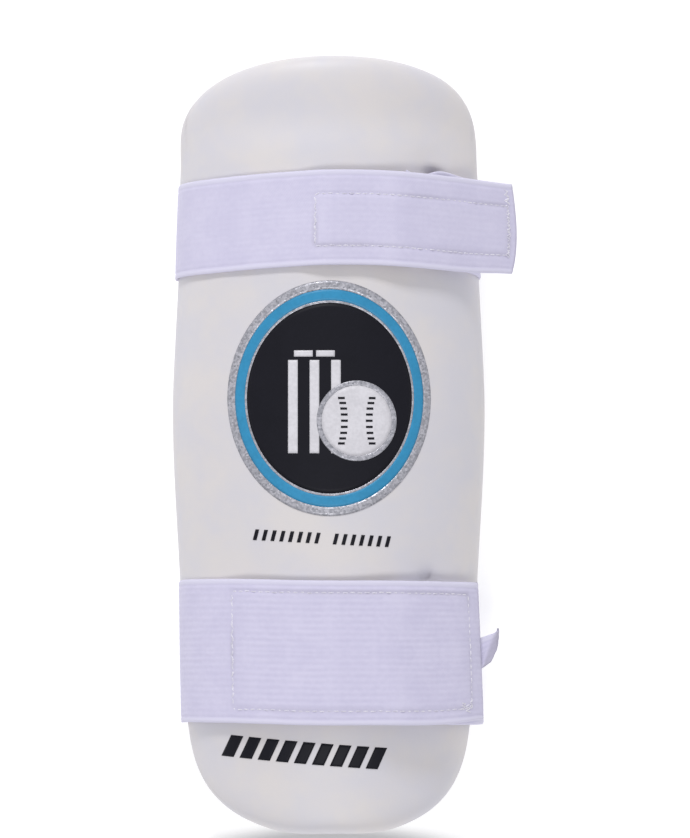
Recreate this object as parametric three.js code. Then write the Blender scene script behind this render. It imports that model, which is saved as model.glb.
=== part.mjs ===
// Cricket elbow guard: a moulded foam half tube with a rolled rim, closed round the arm by two straps.
// Lengths are millimetres. X runs across the arm, Y along it to the upper end, Z out through the face.
// The guard lies on the backs of its straps, so the crown of the pad is its highest line.
import * as THREE from 'three';

// The pad, measured on its outer face
const LENGTH = 277.5;
const MAX_WIDTH = 113.5;
const ARCH_RISE = 38; // crown above the level where the pad is widest
const SIDE_RADIUS = 30; // where the crown's arc turns down into the side walls
const SKIRT = 14; // straight wall below the widest level
const WALL = 13;
const UPPER_END = 58; // stretch over which the upper end rounds off
const LOWER_END = 57;
const UPPER_ROUNDNESS = 2.25; // exponent of the end's outline: 2 is an ellipse, more fills its corners
const LOWER_ROUNDNESS = 2.08;

// Width of the pad along its length, as shares of LENGTH from the lower end and of MAX_WIDTH
const WIDTHS = [
  { along: 0.0, width: 0.82 },
  { along: 0.14, width: 0.913 },
  { along: 0.33, width: 0.952 },
  { along: 0.45, width: 0.986 },
  { along: 0.55, width: 1.0 },
  { along: 0.64, width: 0.982 },
  { along: 0.75, width: 0.956 },
  { along: 0.86, width: 0.957 },
  { along: 1.0, width: 0.92 },
];

// The rolled rim: a round nose, a bead, and at the ends a shallow valley before the full wall of the face
const RIM_WIDTH = 14;
const NOSE_WIDTH = 9.5;
const SIDE_NOSE_ROUNDNESS = 2; // exponent of the nose's profile: 2 is a circle's, more turns over more sharply
const END_NOSE_ROUNDNESS = 3;
const EDGE_HEIGHT = 4.5; // the rim's edge over the hollow's wall, and the radius of its inner lip
const BEAD_HEIGHT = 12.4;
const VALLEY_INSET = 24;
const VALLEY_HALF_WIDTH = 16;
const VALLEY_DEPTH = 0.8;
const SIDE_FACE_INSET = 12; // from here inwards the wall is whole, at the sides
const END_FACE_INSET = 50; // and at the ends
const END_BLEND = 50; // stretch over which the side's rim turns into the end's

// Rings of the rim from the face round the nose to the hollow, as shares of RIM_WIDTH and of EDGE_HEIGHT
const OUTER_RIM_RINGS = [0.74, 0.5, 0.29, 0.13, 0.03];
const INNER_LIP_RINGS = [0.2, 0.6, 1.0];

// Straps of ribbed elastic, with hook tape sewn under the end that crosses the face
const CLEARANCE = 0.3; // between pieces that touch
const STRAP_THICKNESS = 1.6;
const TAPE_THICKNESS = 1.5;
const SELVEDGE_ROUND = 0.45; // chamfer of a strap's long edges
const STRAP_CORNER = 8; // radius where a strap turns from the side wall to the open back
const LAYER_RAMP = 7; // stretch over which a strap climbs onto the layer below

const UPPER_STRAP_WIDTH = 33.5;
const UPPER_STRAP_MARGIN = 41.5; // from the pad's upper end to the strap
const UPPER_BASE_PLACE = 29; // where the strap is sewn to the face, along the arc from the centre line
const UPPER_FREE_LENGTH = 27; // end that stands off the pad, straight on from the crown's arc
const UPPER_TAPE_WIDTH = 20;
const UPPER_TAPE_START = -5; // along the arc from the centre line
const UPPER_TAPE_DROP = 1.3; // tape's middle below the strap's middle
const UPPER_TAPE_MARGIN = 3; // from the tape to the strap's free end

const LOWER_STRAP_WIDTH = 51;
const LOWER_STRAP_MARGIN = 40.3;
const LOWER_BASE_PLACE = 22;
const LOWER_TIP_PLACE = 57; // free end on the side of the pad, along the arc from the centre line
const LOWER_TAPE_WIDTH = 44;
const LOWER_TAPE_START = -34;
const LOWER_TAPE_MARGIN = 6;

// How a strap's middle line strays along its run from the sewn end, as shares of its width. The sewn stretch
// lies askew under the free end, and the upper strap dips at the pad's sides, towards the pad's middle.
const STRAP_LEAN = [
  { run: 0.0, upper: 0.03, lower: 0.012 },
  { run: 0.15, upper: -0.13, lower: -0.032 },
  { run: 0.4, upper: -0.12, lower: 0.0 },
  { run: 0.58, upper: -0.115, lower: 0.006 },
  { run: 0.65, upper: -0.045, lower: 0.004 },
  { run: 0.71, upper: -0.01, lower: 0.002 },
  { run: 0.78, upper: 0.0, lower: 0.0 },
  { run: 0.87, upper: -0.03, lower: -0.004 },
  { run: 1.0, upper: -0.085, lower: -0.006 },
];

// Each strap's stitches pull a dent into the foam just above it
const DENT_PLACE = 37; // along the arc from the centre line
const DENT_MARGIN = 2; // above the strap
const DENT_DEPTH = 2;
const DENT_RADIUS = 5;

// Tab of strap fabric that looks out from under the lower strap's free end
const TAB_WIDTH = 12;
const TAB_THICKNESS = 1.2;
const TAB_PLACE = -2; // its root's middle, measured up from the strap's middle
const TAB_ROOT = 5; // held between the strap's two layers
const TAB_LENGTH = 7.5; // what stands out
const TAB_BEND = 48; // degrees away from the pad
const TAB_BEND_RADIUS = 2.5;
const TAB_RISE = 4.5; // how far its end leans to the upper end

// How finely the skins are divided
const PAD_COLUMNS = 20;
const END_ROWS = 8;
const MIDDLE_ROWS = 14;
const STRAP_STEPS = 96;
const TAPE_STEPS = 24;
const TAB_STEPS = 8;

const CLOTH_COLOUR = '#d2cee6';
const TAPE_COLOUR = '#dedcec';
const FOAM_COLOUR = '#e2dfe3';

// A column of a short table at one place, along a smooth curve through its rows
function readTable(table, placeColumn, valueColumn, place) {
  const last = table.length - 1;
  const next = table.findIndex((row) => row[placeColumn] > place);
  const high = THREE.MathUtils.clamp(next < 0 ? last : next, 1, last);
  const slopeAt = (row) => {
    const before = table[Math.max(row - 1, 0)];
    const after = table[Math.min(row + 1, last)];
    return (after[valueColumn] - before[valueColumn]) / (after[placeColumn] - before[placeColumn]);
  };
  const from = table[high - 1];
  const to = table[high];
  const span = to[placeColumn] - from[placeColumn];
  const t = THREE.MathUtils.clamp((place - from[placeColumn]) / span, 0, 1);
  const startValue = (1 + 2 * t) * (1 - t) ** 2 * from[valueColumn];
  const endValue = t ** 2 * (3 - 2 * t) * to[valueColumn];
  const startTurn = t * (1 - t) ** 2 * span * slopeAt(high - 1);
  const endTurn = t ** 2 * (t - 1) * span * slopeAt(high);
  return startValue + startTurn + endValue + endTurn;
}

// Section of the pad's outer face at one place along it: a three-centred arch on two straight skirts
function sectionAt(y) {
  const share = readTable(WIDTHS, 'along', 'width', y / LENGTH + 0.5);
  const halfWidth = (share * MAX_WIDTH) / 2;
  const rise = share * ARCH_RISE;
  const sideRadius = share * SIDE_RADIUS;
  const inset = halfWidth - sideRadius;
  const crownRadius = (inset ** 2 + rise ** 2 - sideRadius ** 2) / (2 * (rise - sideRadius));
  const crownAngle = Math.atan2(inset, crownRadius - rise);
  const crownArc = crownRadius * crownAngle;
  const arch = crownArc + sideRadius * (Math.PI / 2 - crownAngle);
  const corner = Math.min(STRAP_CORNER, SKIRT);
  const wrapWall = arch + SKIRT - corner;
  const wrapCorner = wrapWall + (corner * Math.PI) / 2;
  const halfLoop = wrapCorner + halfWidth - corner;
  return {
    halfWidth,
    rise,
    sideRadius,
    crownRadius,
    crownAngle,
    crownArc,
    arch,
    corner,
    wrapWall,
    wrapCorner,
    halfLoop,
  };
}

// Point of the section at a distance round it from the crown, and the angle of its outward normal from +Z
function archPoint(section, distance) {
  const { halfWidth, rise, sideRadius, crownRadius, crownAngle, crownArc, arch } = section;
  const side = Math.sign(distance);
  const s = Math.abs(distance);
  if (s < crownArc) {
    const angle = s / crownRadius;
    const z = SKIRT + rise - crownRadius * (1 - Math.cos(angle));
    return { x: side * crownRadius * Math.sin(angle), z, angle: side * angle };
  }
  if (s < arch) {
    const angle = crownAngle + (s - crownArc) / sideRadius;
    const x = halfWidth - sideRadius * (1 - Math.sin(angle));
    return { x: side * x, z: SKIRT + sideRadius * Math.cos(angle), angle: side * angle };
  }
  return { x: side * halfWidth, z: SKIRT - (s - arch), angle: (side * Math.PI) / 2 };
}

// The same section carried on round the open back, as a taut strap runs
function wrapPoint(section, distance) {
  const { halfWidth, corner, wrapWall, wrapCorner, halfLoop } = section;
  const turned = THREE.MathUtils.euclideanModulo(distance, 2 * halfLoop);
  const side = turned > halfLoop ? -1 : 1;
  const s = side < 0 ? 2 * halfLoop - turned : turned;
  if (s <= wrapWall) {
    return archPoint(section, side * s);
  }
  if (s < wrapCorner) {
    const angle = Math.PI / 2 + (s - wrapWall) / corner;
    const x = halfWidth - corner * (1 - Math.sin(angle));
    return { x: side * x, z: corner * (1 + Math.cos(angle)), angle: side * angle };
  }
  return { x: side * (halfLoop - s), z: 0, angle: side * Math.PI };
}

// A closed skin from points and faces of three or four corners, seen from outside in turning order
function skinGeometry(points, faces) {
  const index = faces.flatMap(([a, b, c, d]) => {
    if (d === undefined) {
      return [a, b, c];
    }
    return points[a].distanceTo(points[c]) < points[b].distanceTo(points[d])
      ? [a, b, c, a, c, d]
      : [a, b, d, b, c, d];
  });
  const geometry = new THREE.BufferGeometry().setFromPoints(points);
  geometry.setIndex(index);
  geometry.computeVertexNormals();
  return geometry;
}

function namedMesh(name, geometry, colour, roughness) {
  const material = new THREE.MeshStandardMaterial({ color: colour, roughness, metalness: 0 });
  const mesh = new THREE.Mesh(geometry, material);
  mesh.name = name;
  return mesh;
}

// The pad is drawn as a flat pattern, half as wide as the section's arch and skirt together.
const halfPattern = (y) => sectionAt(y).arch + SKIRT;
const lowerStart = -LENGTH / 2 + LOWER_END;
const upperStart = LENGTH / 2 - UPPER_END;

// A square's point carried into a rounded outline whose corners are cut by the exponent
function roundOff(across, along, exponent) {
  const x = across * Math.sqrt(1 - along ** 2 / 2);
  const y = along * Math.sqrt(1 - across ** 2 / 2);
  const angle = Math.atan2(Math.abs(y), Math.abs(x));
  const reach = (Math.cos(angle) ** exponent + Math.sin(angle) ** exponent) ** (-1 / exponent);
  return { x: x * reach, y: y * reach };
}

// Point of the flat pattern, drawn in by an inset. Rows run from -1 in the lower end, 0 to 1 between, to 2.
function patternPoint(across, row, inset) {
  let share = across;
  let y = THREE.MathUtils.lerp(lowerStart, upperStart, row);
  if (row < 0) {
    const rounded = roundOff(across, row, LOWER_ROUNDNESS);
    share = rounded.x;
    y = lowerStart + rounded.y * (LOWER_END - inset);
  }
  if (row > 1) {
    const rounded = roundOff(across, row - 1, UPPER_ROUNDNESS);
    share = rounded.x;
    y = upperStart + rounded.y * (UPPER_END - inset);
  }
  return new THREE.Vector2(share * (halfPattern(y) - inset), y);
}

const columns = Array.from({ length: PAD_COLUMNS + 1 }, (_, i) => (2 * i) / PAD_COLUMNS - 1);
const rows = [
  ...Array.from({ length: END_ROWS }, (_, i) => i / END_ROWS - 1),
  ...Array.from({ length: MIDDLE_ROWS }, (_, i) => i / MIDDLE_ROWS),
  ...Array.from({ length: END_ROWS + 1 }, (_, i) => 1 + i / END_ROWS),
];

// Stations round the pattern's border, turning from +X to +Y
const border = [
  ...columns.slice(0, -1).map((_, i) => [i, 0]),
  ...rows.slice(0, -1).map((_, j) => [PAD_COLUMNS, j]),
  ...columns.slice(1).map((_, i) => [PAD_COLUMNS - i, rows.length - 1]),
  ...rows.slice(1).map((_, j) => [0, rows.length - 1 - j]),
];
const edge = border.map(([i, j]) => patternPoint(columns[i], rows[j], 0));

// How far a flat point lies inside the pattern's edge
function insetOf(flat) {
  return edge.reduce((least, corner, k) => {
    const run = edge[(k + 1) % edge.length].clone().sub(corner);
    const away = flat.clone().sub(corner);
    const share = THREE.MathUtils.clamp(away.dot(run) / run.lengthSq(), 0, 1);
    return Math.min(least, away.addScaledVector(run, -share).length());
  }, Infinity);
}

// Middles of the straps along the pad
const upperStrapPlace = LENGTH / 2 - UPPER_STRAP_MARGIN - UPPER_STRAP_WIDTH / 2;
const lowerStrapPlace = -LENGTH / 2 + LOWER_STRAP_MARGIN + LOWER_STRAP_WIDTH / 2;
const dents = [
  new THREE.Vector2(DENT_PLACE, upperStrapPlace + UPPER_STRAP_WIDTH / 2 + DENT_MARGIN),
  new THREE.Vector2(DENT_PLACE, lowerStrapPlace + LOWER_STRAP_WIDTH / 2 + DENT_MARGIN),
];

// Height of the outer face over the hollow's wall, at an inset from the edge
function rimHeight(flat, inset) {
  const pastStart = Math.max(flat.y - upperStart, lowerStart - flat.y);
  const endShare = THREE.MathUtils.smoothstep(pastStart, 0, END_BLEND);
  const fromCrest = 1 - Math.min(inset / NOSE_WIDTH, 1);
  const roundness = THREE.MathUtils.lerp(SIDE_NOSE_ROUNDNESS, END_NOSE_ROUNDNESS, endShare);
  const nose = (1 - fromCrest ** roundness) ** (1 / roundness);
  const bead = EDGE_HEIGHT + (BEAD_HEIGHT - EDGE_HEIGHT) * nose;
  const faceInset = THREE.MathUtils.lerp(SIDE_FACE_INSET, END_FACE_INSET, endShare);
  const swell = THREE.MathUtils.smoothstep(inset, endShare * VALLEY_INSET, faceInset);
  const fromValley = Math.min(Math.abs(inset - VALLEY_INSET) / VALLEY_HALF_WIDTH, 1);
  const valley = (endShare * (1 + Math.cos(Math.PI * fromValley))) / 2;
  return bead + (WALL - BEAD_HEIGHT) * swell - VALLEY_DEPTH * valley;
}

function dentDepth(flat) {
  return dents.reduce((sum, dent) => {
    const away = flat.distanceTo(dent) / DENT_RADIUS;
    return sum + DENT_DEPTH * Math.exp(-(away ** 2));
  }, 0);
}

// A flat point bent onto the arm, at a height over the hollow's wall
function padPoint(flat, height) {
  const { x, z, angle } = archPoint(sectionAt(flat.y), flat.x);
  const sunk = WALL - height;
  return new THREE.Vector3(x - sunk * Math.sin(angle), flat.y, z - sunk * Math.cos(angle));
}

// The moulded foam shell: a grid for the face, rings round the rolled rim, and a grid for the hollow
function pad() {
  const points = [];
  const faces = [];
  const put = (flat, height) => points.push(padPoint(flat, height)) - 1;
  const gridOf = (heightAt) =>
    columns.map((across) =>
      rows.map((row) => {
        const flat = patternPoint(across, row, RIM_WIDTH);
        return put(flat, heightAt(flat));
      }),
    );
  const face = gridOf((flat) => rimHeight(flat, insetOf(flat)) - dentDepth(flat));
  const hollow = gridOf(() => 0);
  for (let i = 0; i < PAD_COLUMNS; i += 1) {
    for (let j = 0; j < rows.length - 1; j += 1) {
      faces.push([face[i][j], face[i + 1][j], face[i + 1][j + 1], face[i][j + 1]]);
      faces.push([hollow[i][j], hollow[i][j + 1], hollow[i + 1][j + 1], hollow[i + 1][j]]);
    }
  }

  const ringOf = (inset, heightAt) =>
    border.map(([i, j]) => {
      const flat = patternPoint(columns[i], rows[j], inset);
      return put(flat, heightAt(flat, inset));
    });
  const lipHeight = (flat, inset) => EDGE_HEIGHT * (1 - Math.sqrt(1 - (1 - inset / EDGE_HEIGHT) ** 2));
  const rings = [
    border.map(([i, j]) => face[i][j]),
    ...OUTER_RIM_RINGS.map((share) => ringOf(share * RIM_WIDTH, rimHeight)),
    ringOf(0, lipHeight),
    ...INNER_LIP_RINGS.map((share) => ringOf(share * EDGE_HEIGHT, lipHeight)),
    border.map(([i, j]) => hollow[i][j]),
  ];
  rings.slice(1).forEach((ring, r) => {
    const before = rings[r];
    ring.forEach((corner, k) => {
      const next = (k + 1) % ring.length;
      faces.push([before[k], corner, ring[next], before[next]]);
    });
  });
  return namedMesh('pad', skinGeometry(points, faces), FOAM_COLOUR, 0.55);
}

// A flat band swept through stations, each placing a point given across the band and out from the pad
function bandGeometry(width, thickness, stations) {
  const half = width / 2;
  const round = Math.min(SELVEDGE_ROUND, thickness / 3);
  const outline = [
    [-half, round],
    [-half + round, 0],
    [half - round, 0],
    [half, round],
    [half, thickness - round],
    [half - round, thickness],
    [-half + round, thickness],
    [-half, thickness - round],
  ];
  const points = stations.flatMap((place) => outline.map(([across, out]) => place(across, out)));
  const count = outline.length;
  const faces = [];
  for (let i = 0; i < stations.length - 1; i += 1) {
    for (let k = 0; k < count; k += 1) {
      const next = (k + 1) % count;
      faces.push([i * count + k, i * count + next, (i + 1) * count + next, (i + 1) * count + k]);
    }
  }
  const end = (stations.length - 1) * count;
  for (let k = 1; k < count - 1; k += 1) {
    faces.push([0, k + 1, k]);
    faces.push([end, end + k, end + k + 1]);
  }
  return skinGeometry(points, faces);
}

// How far a layer is lifted by what it climbs onto, each step over before its place
const climb = (distance, place, height) =>
  height * THREE.MathUtils.smoothstep(distance, place - LAYER_RAMP, place);

// Stations of a band round the pad. Distances run from the crown, measured in the strap's middle.
function bandStations({ from, to, steps, middle, sectionFor, leaveAt, liftAt, shiftAt }) {
  const centre = sectionFor(middle);
  return Array.from({ length: steps + 1 }, (_, i) => {
    const share = i / steps;
    const distance = THREE.MathUtils.lerp(from, to, share);
    const lift = liftAt(distance);
    const shift = shiftAt(distance);
    return (across, out) => {
      const y = middle + shift + across;
      const section = sectionFor(y);
      const scale = section.halfLoop / centre.halfLoop;
      const onPad = Math.min(distance, leaveAt);
      const { x, z, angle } = wrapPoint(section, onPad * scale);
      const past = distance - onPad;
      const off = lift + out;
      return new THREE.Vector3(
        x + off * Math.sin(angle) + past * Math.cos(angle),
        y,
        z + off * Math.cos(angle) - past * Math.sin(angle),
      );
    };
  });
}

// What a strap and its tape need: sizes, places along the arc, and whether the band follows the pad's taper
function strapPlan({ width, middle, base, tapeStart, follows, freeLength, tip, tapeMargin }) {
  const widest = sectionAt(middle + width / 2);
  const sectionFor = follows ? sectionAt : () => widest;
  const { crownArc, halfLoop } = sectionFor(middle);
  const lap = 2 * halfLoop;
  const leaveAt = freeLength ? lap + crownArc : Infinity;
  const end = freeLength ? leaveAt + freeLength : lap + tip;
  const tape = { tapeStart: lap + tapeStart, tapeEnd: end - tapeMargin };
  return { width, middle, base, lap, leaveAt, end, sectionFor, ...tape };
}

// Shift of a strap's middle line at a distance round the pad
const leanOf = (plan, leanColumn) => (at) =>
  plan.width * readTable(STRAP_LEAN, 'run', leanColumn, (at - plan.base) / (plan.end - plan.base));

function strap(name, plan, leanColumn) {
  const { lap, base, tapeStart } = plan;
  const tapeLift = TAPE_THICKNESS + CLEARANCE;
  const layerLift = STRAP_THICKNESS + CLEARANCE;
  const stations = bandStations({
    ...plan,
    from: base,
    to: plan.end,
    steps: STRAP_STEPS,
    liftAt: (at) => CLEARANCE + climb(at, tapeStart, tapeLift) + climb(at, lap + base, layerLift),
    shiftAt: leanOf(plan, leanColumn),
  });
  return namedMesh(name, bandGeometry(plan.width, STRAP_THICKNESS, stations), CLOTH_COLOUR, 0.85);
}

function hookTape(name, plan, width, drop, leanColumn) {
  const lean = leanOf(plan, leanColumn);
  const stations = bandStations({
    ...plan,
    from: plan.tapeStart,
    to: plan.tapeEnd,
    steps: TAPE_STEPS,
    liftAt: (at) => CLEARANCE + climb(at, plan.lap + plan.base, STRAP_THICKNESS + CLEARANCE),
    shiftAt: (at) => lean(at) - drop,
  });
  return namedMesh(name, bandGeometry(width, TAPE_THICKNESS, stations), TAPE_COLOUR, 0.8);
}

// The tab lies between the strap's layers beyond the tape, then bends out and leans to the upper end.
function sideTab(plan) {
  const lift = STRAP_THICKNESS + 2 * CLEARANCE;
  const bendAt = plan.end + CLEARANCE;
  const rootStart = bendAt - TAB_ROOT;
  const bendAngle = THREE.MathUtils.degToRad(TAB_BEND);
  const bendLength = TAB_BEND_RADIUS * bendAngle;
  const middle = plan.middle + TAB_PLACE;
  const section = plan.sectionFor(middle);
  const places = [rootStart, (rootStart + bendAt) / 2];
  for (let i = 0; i <= TAB_STEPS; i += 1) {
    places.push(bendAt + (TAB_LENGTH * i) / TAB_STEPS);
  }
  const stations = places.map((distance) => (across, out) => {
    const { x, z, angle } = wrapPoint(section, Math.min(distance, bendAt));
    const past = Math.max(distance - bendAt, 0);
    const turn = Math.min(past / TAB_BEND_RADIUS, bendAngle);
    const straight = Math.max(past - bendLength, 0);
    const bent = TAB_BEND_RADIUS - out;
    const forward = bent * Math.sin(turn) + straight * Math.cos(turn);
    const off = lift + TAB_BEND_RADIUS - bent * Math.cos(turn) + straight * Math.sin(turn);
    return new THREE.Vector3(
      x + off * Math.sin(angle) + forward * Math.cos(angle),
      middle + across + (TAB_RISE * past) / TAB_LENGTH,
      z + off * Math.cos(angle) - forward * Math.sin(angle),
    );
  });
  return namedMesh('side_tab', bandGeometry(TAB_WIDTH, TAB_THICKNESS, stations), CLOTH_COLOUR, 0.85);
}

const upperPlan = strapPlan({
  width: UPPER_STRAP_WIDTH,
  middle: upperStrapPlace,
  base: UPPER_BASE_PLACE,
  tapeStart: UPPER_TAPE_START,
  follows: true,
  freeLength: UPPER_FREE_LENGTH,
  tapeMargin: UPPER_TAPE_MARGIN,
});
const lowerPlan = strapPlan({
  width: LOWER_STRAP_WIDTH,
  middle: lowerStrapPlace,
  base: LOWER_BASE_PLACE,
  tapeStart: LOWER_TAPE_START,
  follows: false,
  tip: LOWER_TIP_PLACE,
  tapeMargin: LOWER_TAPE_MARGIN,
});

const guard = new THREE.Group();
guard.add(
  pad(),
  strap('upper_strap', upperPlan, 'upper'),
  hookTape('upper_hook_patch', upperPlan, UPPER_TAPE_WIDTH, UPPER_TAPE_DROP, 'upper'),
  strap('lower_strap', lowerPlan, 'lower'),
  hookTape('lower_hook_patch', lowerPlan, LOWER_TAPE_WIDTH, 0, 'lower'),
  sideTab(lowerPlan),
);

// The origin is the middle of the guard's footprint, on the surface that it lies on.
const bounds = new THREE.Box3().setFromObject(guard);
const middle = bounds.getCenter(new THREE.Vector3());
guard.children.forEach((mesh) => mesh.position.set(-middle.x, -middle.y, -bounds.min.z));

export default guard;
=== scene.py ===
import math

import bpy
from mathutils import Matrix, Vector, noise


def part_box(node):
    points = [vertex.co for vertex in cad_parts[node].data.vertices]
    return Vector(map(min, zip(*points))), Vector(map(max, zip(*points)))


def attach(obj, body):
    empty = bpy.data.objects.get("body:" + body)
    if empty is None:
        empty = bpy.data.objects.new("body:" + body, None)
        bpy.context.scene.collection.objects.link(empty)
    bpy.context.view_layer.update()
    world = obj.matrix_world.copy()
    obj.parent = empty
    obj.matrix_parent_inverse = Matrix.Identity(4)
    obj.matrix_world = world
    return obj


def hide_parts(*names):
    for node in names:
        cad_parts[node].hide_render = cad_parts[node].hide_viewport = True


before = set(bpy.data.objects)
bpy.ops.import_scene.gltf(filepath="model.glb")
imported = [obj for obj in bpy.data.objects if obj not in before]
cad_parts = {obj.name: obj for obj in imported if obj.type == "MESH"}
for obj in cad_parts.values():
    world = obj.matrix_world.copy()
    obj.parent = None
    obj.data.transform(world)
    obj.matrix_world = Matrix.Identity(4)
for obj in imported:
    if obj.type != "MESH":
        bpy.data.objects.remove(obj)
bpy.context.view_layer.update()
mm = 0.001

# The camera
# The guard lies on its back, so the camera looks down on its face, as in the photograph, from a little
# to the left of the middle.
pad_low, pad_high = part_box("pad")
middle_x = (pad_low.x + pad_high.x) / 2
crown_z = pad_high.z

eye = Vector((middle_x - 52 * mm, -12 * mm, crown_z + 1450 * mm))
aim = Vector((middle_x + 4.3 * mm, 9.4 * mm, crown_z))
picture_height = 296.3 * mm

bpy.ops.object.camera_add(location=eye)
camera = bpy.context.object
camera.name = "camera"
behind = (eye - aim).normalized()
right = Vector((0, 1, 0)).cross(behind).normalized()
camera.rotation_euler = Matrix((right, behind.cross(right), behind)).transposed().to_euler()
camera.data.sensor_fit = "VERTICAL"
camera.data.lens = camera.data.sensor_height * (aim - eye).length / picture_height
bpy.context.scene.camera = camera

# The studio
# A white floor that runs out of view and glows less in a soft strip under the lower end, which is in part
# painted shadow and in part lets the upper lamp's real shadow show, a lamp beyond the upper end that
# throws the straps' shadows down the pad, a larger one beyond the lower end, and white all round.
bpy.context.scene.view_settings.view_transform = "Standard"

bpy.ops.mesh.primitive_plane_add(size=40, location=(0, 0, 0))
floor = bpy.context.object
floor.name = "studio_floor"
floor_paint = bpy.data.materials.new("studio_floor_paint")
floor_paint.use_nodes = True
floor_shader = floor_paint.node_tree.nodes["Principled BSDF"]
floor_shader.inputs["Base Color"].default_value = (0.55, 0.55, 0.555, 1)
floor_shader.inputs["Roughness"].default_value = 0.8
floor_shader.inputs["Emission Color"].default_value = (1, 1, 1, 1)
floor_nodes = floor_paint.node_tree.nodes
floor_links = floor_paint.node_tree.links
# The soft strip of less glow under the lower end: a painted contact shadow.
spot = floor_nodes.new("ShaderNodeTexCoord")
around = floor_nodes.new("ShaderNodeMapping")
around.vector_type = "TEXTURE"
around.inputs["Location"].default_value = (middle_x + 1 * mm, pad_low.y - 8 * mm, 0)
around.inputs["Scale"].default_value = (58 * mm, 10 * mm, 1)
away = floor_nodes.new("ShaderNodeVectorMath")
away.operation = "LENGTH"
glow_with_painted_shadow = floor_nodes.new("ShaderNodeMapRange")
glow_with_painted_shadow.interpolation_type = "SMOOTHSTEP"
glow_with_painted_shadow.inputs["From Min"].default_value = 0.45
glow_with_painted_shadow.inputs["To Min"].default_value = 0.08
glow_with_painted_shadow.inputs["To Max"].default_value = 0.6
floor_links.new(spot.outputs["Object"], around.inputs["Vector"])
floor_links.new(around.outputs["Vector"], away.inputs[0])
floor_links.new(away.outputs["Value"], glow_with_painted_shadow.inputs["Value"])
floor_links.new(glow_with_painted_shadow.outputs["Result"], floor_shader.inputs["Emission Strength"])
floor.data.materials.append(floor_paint)

world = bpy.data.worlds.new("studio_air")
world.use_nodes = True
world.node_tree.nodes["Background"].inputs["Color"].default_value = (0.96, 0.965, 1.0, 1)
world.node_tree.nodes["Background"].inputs["Strength"].default_value = 0.485
bpy.context.scene.world = world

for name, place, size, watts in (
    ("key_light", (-0.43, 2.01, 1.28), 0.45, 27.5),
    ("top_light", (0, -1.2, 2.13), 0.9, 18),
):
    bpy.ops.object.light_add(type="AREA", location=place)
    lamp = bpy.context.object
    lamp.name = name
    lamp.rotation_euler = (Vector((0, 0, crown_z)) - lamp.location).to_track_quat("-Z", "Y").to_euler()
    lamp.data.size = size
    lamp.data.energy = watts
bpy.ops.object.select_all(action="DESELECT")

# The moulded pad
# One shell of closed-cell foam under a smooth matt skin, pressed warm over a former so that its rim
# rolls in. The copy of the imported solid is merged, made of four-sided faces again and smoothed.
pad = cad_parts["pad"].copy()
pad.data = pad.data.copy()
pad.name = "pad_skin"
bpy.context.scene.collection.objects.link(pad)
pad.parent = None
bpy.context.view_layer.objects.active = pad
pad.select_set(True)
bpy.ops.object.mode_set(mode="EDIT")
bpy.ops.mesh.select_all(action="SELECT")
bpy.ops.mesh.remove_doubles(threshold=0.01 * mm)
bpy.ops.mesh.tris_convert_to_quads(face_threshold=math.radians(60), shape_threshold=math.radians(60))
bpy.ops.object.mode_set(mode="OBJECT")
smoothing = pad.modifiers.new("moulded_form", "SUBSURF")
smoothing.levels = 2
smoothing.render_levels = 2
bpy.ops.object.modifier_apply(modifier=smoothing.name)
bpy.ops.object.shade_smooth()


def bell(distance, reach):
    """A bell-shaped curve that is 1 in its middle and 0.37 at its reach."""
    return math.exp(-((distance / reach) ** 2))


# The foam is uneven: both ends lean to the right, the upper one has full shoulders and a shallow valley
# across it, the lower one is blunt, and two dents lie in the face.
TOP_START = 105 * mm
TIP_START = 118 * mm
TOP_LEAN = 1.3 * mm
TIP_LEAN = 0.5 * mm
TOP_REACH = 0.5 * mm
TIP_CORNERS = 1.5 * mm
TIP_DRAWN_IN = 0.3 * mm
SHOULDER_Y = 118 * mm
LEFT_SHOULDER = 1.9 * mm
RIGHT_SHOULDER = 0.7 * mm
VALLEY_Y = 115 * mm
VALLEY_DEPTH = 0.7 * mm
# Each dent's place across and along, how far it spreads and its depth
DENTS = ((36 * mm, 97 * mm, 3 * mm, 3 * mm), (34 * mm, -46.9 * mm, 2.3 * mm, 1.9 * mm))
for corner in pad.data.vertices:
    x, y = corner.co.x - middle_x, corner.co.y
    top = min(max((y - TOP_START) / (33 * mm), 0), 1) ** 2
    tip = min(max((-y - TIP_START) / (20 * mm), 0), 1) ** 2
    shoulder = (RIGHT_SHOULDER if x > 0 else -LEFT_SHOULDER) * bell(y - SHOULDER_Y, 12 * mm)
    in_middle = bell(x, 15 * mm)
    corner.co.x += TOP_LEAN * top + TIP_LEAN * tip + shoulder * min((x / (52 * mm)) ** 2, 1)
    corner.co.y += TOP_REACH * top + (TIP_DRAWN_IN * in_middle - TIP_CORNERS * (1 - in_middle)) * tip
    if corner.co.z < crown_z / 2:
        continue
    corner.co.z -= VALLEY_DEPTH * bell(y - VALLEY_Y, 9 * mm)
    for across, along, reach, depth in DENTS:
        away = math.hypot(corner.co.x - middle_x - across, (corner.co.y - along) / 0.65)
        corner.co.z -= depth * bell(away, reach)
pad.data.update()
pad.select_set(False)


def new_group(name, inputs, output):
    """An empty node group with a vector, some numbers and one number out, and its two end nodes."""
    group = bpy.data.node_groups.new(name, "ShaderNodeTree")
    group.interface.new_socket("Vector", in_out="INPUT", socket_type="NodeSocketVector")
    for label, value in inputs:
        socket = group.interface.new_socket(label, in_out="INPUT", socket_type="NodeSocketFloat")
        socket.default_value = value
    group.interface.new_socket(output, in_out="OUTPUT", socket_type="NodeSocketFloat")
    entry = group.nodes.new("NodeGroupInput")
    leave = group.nodes.new("NodeGroupOutput")
    return group, entry, leave


def maths(tree, operation, first, second=None, third=None):
    """A Math node on sockets or plain numbers, and its output."""
    node = tree.nodes.new("ShaderNodeMath")
    node.operation = operation
    for socket, value in zip(node.inputs, (first, second, third)):
        if isinstance(value, bpy.types.NodeSocket):
            tree.links.new(value, socket)
        elif value is not None:
            socket.default_value = value
    return node.outputs["Value"]


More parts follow.
